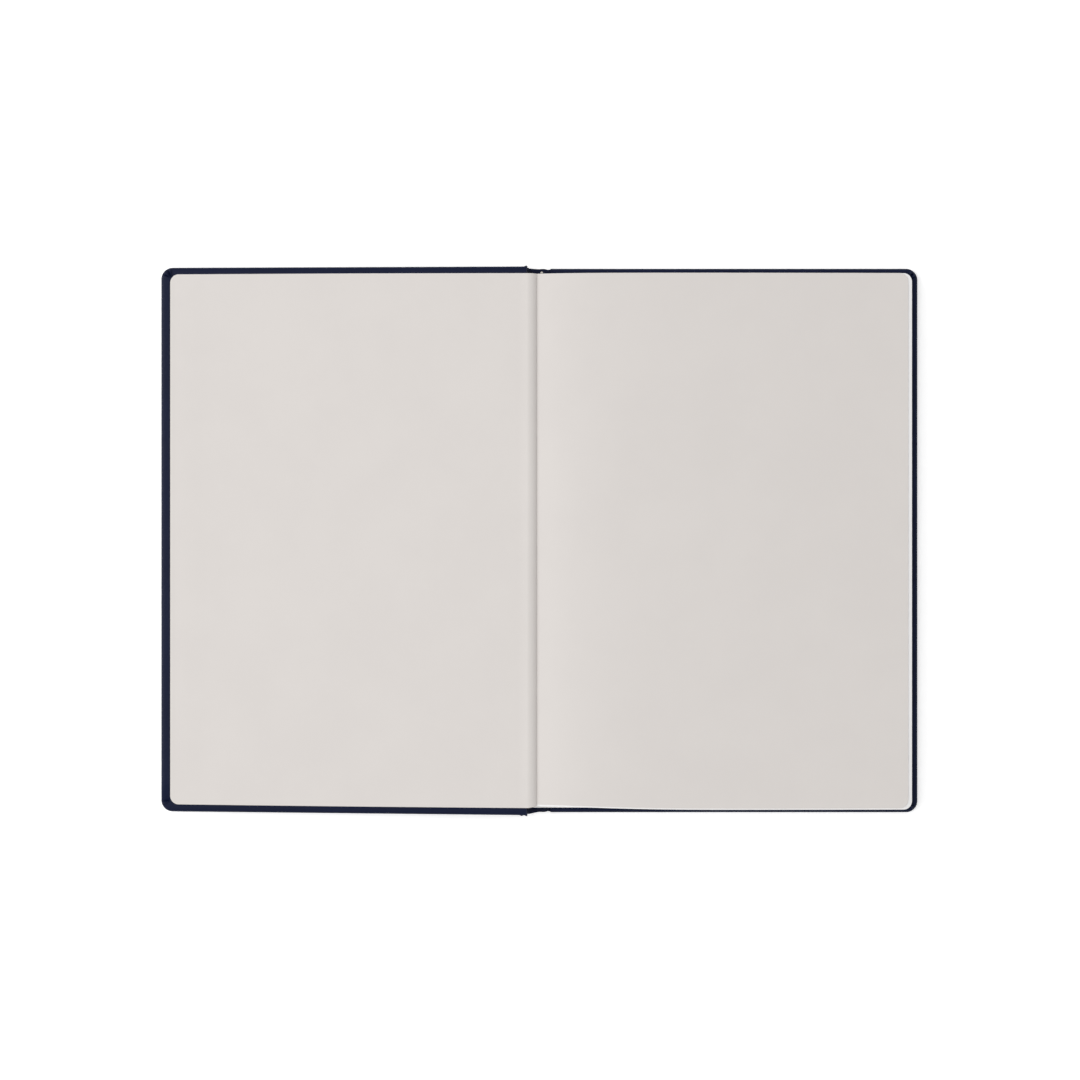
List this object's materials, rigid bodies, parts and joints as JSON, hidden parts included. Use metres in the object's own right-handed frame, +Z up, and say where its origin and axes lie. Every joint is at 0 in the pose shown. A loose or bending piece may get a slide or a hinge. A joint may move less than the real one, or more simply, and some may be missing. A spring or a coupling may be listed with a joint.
{
  "type": "pilot logbook",
  "caption": "Case-bound A5 flight logbook with rounded corners, navy grained covers and blank endpapers, lying open at the first page.",
  "frame": {"origin": "middle of the open book's footprint, on the surface it lies on", "axes": "+X to the back cover's fore-edge, +Y to the head of the pages, +Z up from the table"},
  "size_m": [0.2992, 0.215, 0.0154],
  "materials": {
    "cover_cloth": "fine-grained navy covering, slight sheen",
    "greyboard": "matte grey board",
    "endpaper": "smooth warm off-white paper",
    "text_paper": "smooth white paper",
    "mull": "open woven gauze",
    "thread": "waxed linen thread",
    "kraft": "brown kraft paper",
    "band": "woven grey cotton band"
  },
  "bodies": {
    "back_cover": {"back_board": "greyboard", "back_cover_cloth": "cover_cloth", "back_mull_flange": "mull", "back_pastedown": "endpaper", "back_joint_cloth": "cover_cloth"},
    "text_block": {"back_flyleaf": "endpaper", "section_01": "text_paper", "section_02": "text_paper", "section_03": "text_paper", "section_04": "text_paper", "section_05": "text_paper", "section_06": "text_paper", "section_07": "text_paper", "section_08": "text_paper", "section_09": "text_paper", "section_10": "text_paper", "section_11": "text_paper", "section_12": "text_paper", "sewing_thread": "thread", "spine_mull": "mull", "spine_liner": "kraft", "headband": "band", "tailband": "band", "front_mull_hinge": "mull"},
    "middle_leaf_group": {"middle_leaves": "text_paper"},
    "front_leaf_group": {"front_leaves": "text_paper"},
    "flyleaf": {"front_flyleaf": "endpaper"},
    "front_cover": {"front_board": "greyboard", "front_cover_cloth": "cover_cloth", "front_mull_flange": "mull", "front_pastedown": "endpaper"},
    "spine_panel": {"spine_board": "greyboard", "spine_cloth": "cover_cloth"}
  },
  "joints": [
    {"name": "back_hinge", "type": "hinge", "parent": "back_cover", "child": "text_block", "pos_m": [-0.0002, 0, 0.0143], "axis": [0, -1, 0], "range_deg": [0, 20]},
    {"name": "front_hinge", "type": "hinge", "parent": "spine_panel", "child": "front_cover", "pos_m": [-0.00862, 0, 0.01688], "axis": [0, -1, 0], "range_deg": [-117.9, 0]},
    {"name": "spine_hinge", "type": "hinge", "parent": "back_cover", "child": "spine_panel", "pos_m": [-0.0047, 0, 0.0012], "axis": [0, -1, 0], "range_deg": [-66, 0]},
    {"name": "middle_leaves_turn", "type": "hinge", "parent": "text_block", "child": "middle_leaf_group", "pos_m": [-0.0008, 0, 0.0142], "axis": [0, -1, 0], "range_deg": [0, 18]},
    {"name": "front_leaves_turn", "type": "hinge", "parent": "middle_leaf_group", "child": "front_leaf_group", "pos_m": [-0.0008, 0, 0.0142], "axis": [0, -1, 0], "range_deg": [0, 18]},
    {"name": "flyleaf_turn", "type": "hinge", "parent": "front_leaf_group", "child": "flyleaf", "pos_m": [-0.0008, 0, 0.0142], "axis": [0, -1, 0], "range_deg": [0, 120]}
  ],
  "couplings": [
    {"joint": "spine_hinge", "follows": "front_hinge", "ratio": 0.5598}
  ]
}
